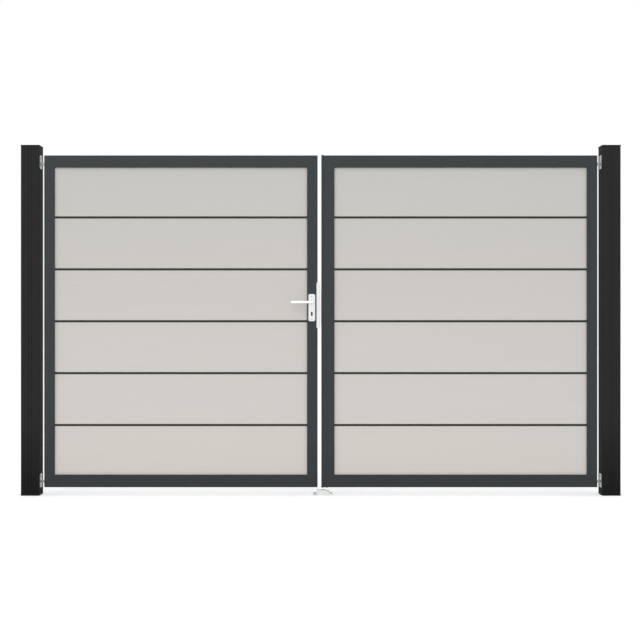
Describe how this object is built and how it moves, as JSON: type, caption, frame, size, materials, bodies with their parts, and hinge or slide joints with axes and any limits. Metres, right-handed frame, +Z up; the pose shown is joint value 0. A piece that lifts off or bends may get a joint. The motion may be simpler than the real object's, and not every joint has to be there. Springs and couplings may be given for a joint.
{
  "type": "double gate",
  "caption": "Double-leaf gate of plain horizontal boards in mitred dark metal frames, hung on square posts, with lever handle, drop bolt and floor keeper.",
  "frame": {"origin": "centre of the left post's foot, on the ground", "axes": "+X along the closed gate towards the right post, +Y away from the viewer, the way the leaves open, +Z up"},
  "size_m": [3.256, 0.1685, 1.903],
  "materials": {
    "post_paint": "fine-textured charcoal powder coat",
    "frame_paint": "satin anthracite powder coat",
    "board": "plain light warm-grey composite board",
    "strip": "satin anthracite powder coat",
    "hinge_metal": "satin stainless steel",
    "handle_metal": "satin natural anodised",
    "guard_metal": "bright natural anodised",
    "keyhole": "dark keyhole insert",
    "bolt_metal": "dark powder-coated steel",
    "keeper_metal": "light grey galvanised and lacquered"
  },
  "bodies": {
    "posts": {"left_post": "post_paint", "left_post_cap": "post_paint", "left_post_covers": "post_paint", "left_post_hinges": "hinge_metal", "right_post": "post_paint", "right_post_cap": "post_paint", "right_post_covers": "post_paint", "right_post_hinges": "hinge_metal", "floor_keeper": "keeper_metal"},
    "left_leaf": {"left_hinge_stile": "frame_paint", "left_meeting_stile": "frame_paint", "left_bottom_rail": "frame_paint", "left_top_rail": "frame_paint", "left_board_1": "board", "left_board_2": "board", "left_board_3": "board", "left_board_4": "board", "left_board_5": "board", "left_board_6": "board", "left_joint_strips": "strip", "left_leaf_hinges": "hinge_metal", "front_handle_plate": "handle_metal", "back_handle_plate": "handle_metal", "lock_inserts": "keyhole", "latch_guard": "guard_metal", "latch_bolt": "hinge_metal"},
    "right_leaf": {"right_hinge_stile": "frame_paint", "right_meeting_stile": "frame_paint", "right_bottom_rail": "frame_paint", "right_top_rail": "frame_paint", "right_board_1": "board", "right_board_2": "board", "right_board_3": "board", "right_board_4": "board", "right_board_5": "board", "right_board_6": "board", "right_joint_strips": "strip", "right_leaf_hinges": "hinge_metal", "stop_bar": "frame_paint", "bolt_guides": "bolt_metal"},
    "lever_handle": {"front_lever": "handle_metal", "back_lever": "handle_metal"},
    "sliding_bolt": {"drop_bolt": "bolt_metal"}
  },
  "joints": [
    {"name": "left_leaf_hinge", "type": "hinge", "parent": "posts", "child": "left_leaf", "pos_m": [0.0745, 0.005, 0.946], "axis": [0, 0, 1], "range_deg": [0, 90]},
    {"name": "right_leaf_hinge", "type": "hinge", "parent": "posts", "child": "right_leaf", "pos_m": [3.0785, 0.005, 0.946], "axis": [0, 0, -1], "range_deg": [0, 90]},
    {"name": "lever_turn", "type": "hinge", "parent": "left_leaf", "child": "lever_handle", "pos_m": [1.528, -0.03, 1.05], "axis": [0, -1, 0], "range_deg": [0, 40], "stiffness_Nm_per_rad": 2, "springref_deg": -17.19},
    {"name": "bolt_slide", "type": "slide", "parent": "right_leaf", "child": "sliding_bolt", "axis": [0, 0, -1], "range_m": [0, 0.03]}
  ]
}
